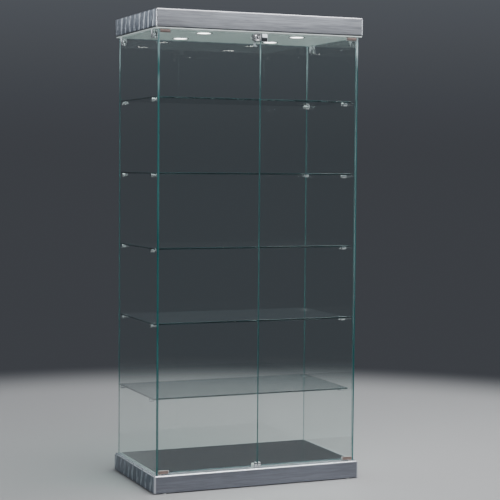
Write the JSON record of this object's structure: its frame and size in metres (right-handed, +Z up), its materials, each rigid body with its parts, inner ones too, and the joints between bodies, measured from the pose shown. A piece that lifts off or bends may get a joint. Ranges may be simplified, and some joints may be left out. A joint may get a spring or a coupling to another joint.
{
  "type": "glass display cabinet",
  "caption": "Free-standing glass display cabinet with hinged double doors, glass shelves on metal pegs, a lockable front, and a laminated plinth and canopy with downlights.",
  "frame": {"origin": "on the floor, under the middle of the cabinet's plan", "axes": "+Z up; +X to the right seen from the front; the doors face -Y and the back glass faces +Y"},
  "size_m": [0.88, 0.51, 1.866],
  "materials": {
    "silver_laminate": "satin",
    "ceiling_lacquer": "satin",
    "clear_glass": "polished",
    "smoked_mirror": "polished",
    "chrome": "polished",
    "warm_nickel": "satin",
    "zinc_steel": "satin",
    "white_plastic": "matte"
  },
  "bodies": {
    "cabinet": {"plinth_frame": "silver_laminate", "plinth_deck": "silver_laminate", "mirror_floor": "smoked_mirror", "floor_glide_front_left": "white_plastic", "floor_glide_front_right": "white_plastic", "floor_glide_back_left": "white_plastic", "floor_glide_back_right": "white_plastic", "canopy_frame": "silver_laminate", "canopy_top_board": "silver_laminate", "ceiling_panel": "ceiling_lacquer", "led_driver": "white_plastic", "downlight_front_left": "chrome", "downlight_front_right": "chrome", "downlight_back_left": "chrome", "downlight_back_right": "chrome", "left_side_glass": "clear_glass", "right_side_glass": "clear_glass", "back_glass": "clear_glass", "glass_bracket_front_left": "chrome", "glass_bracket_front_right": "chrome", "glass_bracket_back_left": "chrome", "glass_bracket_back_right": "chrome", "shelf_1": "clear_glass", "shelf_1_peg_front_left": "chrome", "shelf_1_peg_front_right": "chrome", "shelf_1_peg_back_left": "chrome", "shelf_1_peg_back_right": "chrome", "shelf_2": "clear_glass", "shelf_2_peg_front_left": "chrome", "shelf_2_peg_front_right": "chrome", "shelf_2_peg_back_left": "chrome", "shelf_2_peg_back_right": "chrome", "shelf_3": "clear_glass", "shelf_3_peg_front_left": "chrome", "shelf_3_peg_front_right": "chrome", "shelf_3_peg_back_left": "chrome", "shelf_3_peg_back_right": "chrome", "shelf_4": "clear_glass", "shelf_4_peg_front_left": "chrome", "shelf_4_peg_front_right": "chrome", "shelf_4_peg_back_left": "chrome", "shelf_4_peg_back_right": "chrome", "shelf_5": "clear_glass", "shelf_5_peg_front_left": "chrome", "shelf_5_peg_front_right": "chrome", "shelf_5_peg_back_left": "chrome", "shelf_5_peg_back_right": "chrome", "catch_case": "white_plastic"},
    "left_door": {"left_door_glass": "clear_glass", "left_door_bottom_shoe": "warm_nickel", "left_door_top_shoe": "warm_nickel", "left_catch_clip": "chrome", "lock_housing": "chrome"},
    "right_door": {"right_door_glass": "clear_glass", "right_door_bottom_shoe": "warm_nickel", "right_door_top_shoe": "warm_nickel", "right_catch_clip": "chrome", "lock_keeper": "chrome"},
    "lock": {"lock_cylinder": "chrome", "lock_cam": "zinc_steel"}
  },
  "joints": [
    {"name": "left_door_hinge", "type": "hinge", "parent": "cabinet", "child": "left_door", "pos_m": [-0.41, -0.234, 0.932], "axis": [0, 0, -1], "range_deg": [0, 110]},
    {"name": "right_door_hinge", "type": "hinge", "parent": "cabinet", "child": "right_door", "pos_m": [0.41, -0.234, 0.932], "axis": [0, 0, 1], "range_deg": [0, 110]},
    {"name": "lock_turn", "type": "hinge", "parent": "left_door", "child": "lock", "pos_m": [-0.0228, -0.234, 1.7718], "axis": [0, -1, 0], "range_deg": [0, 90]}
  ]
}
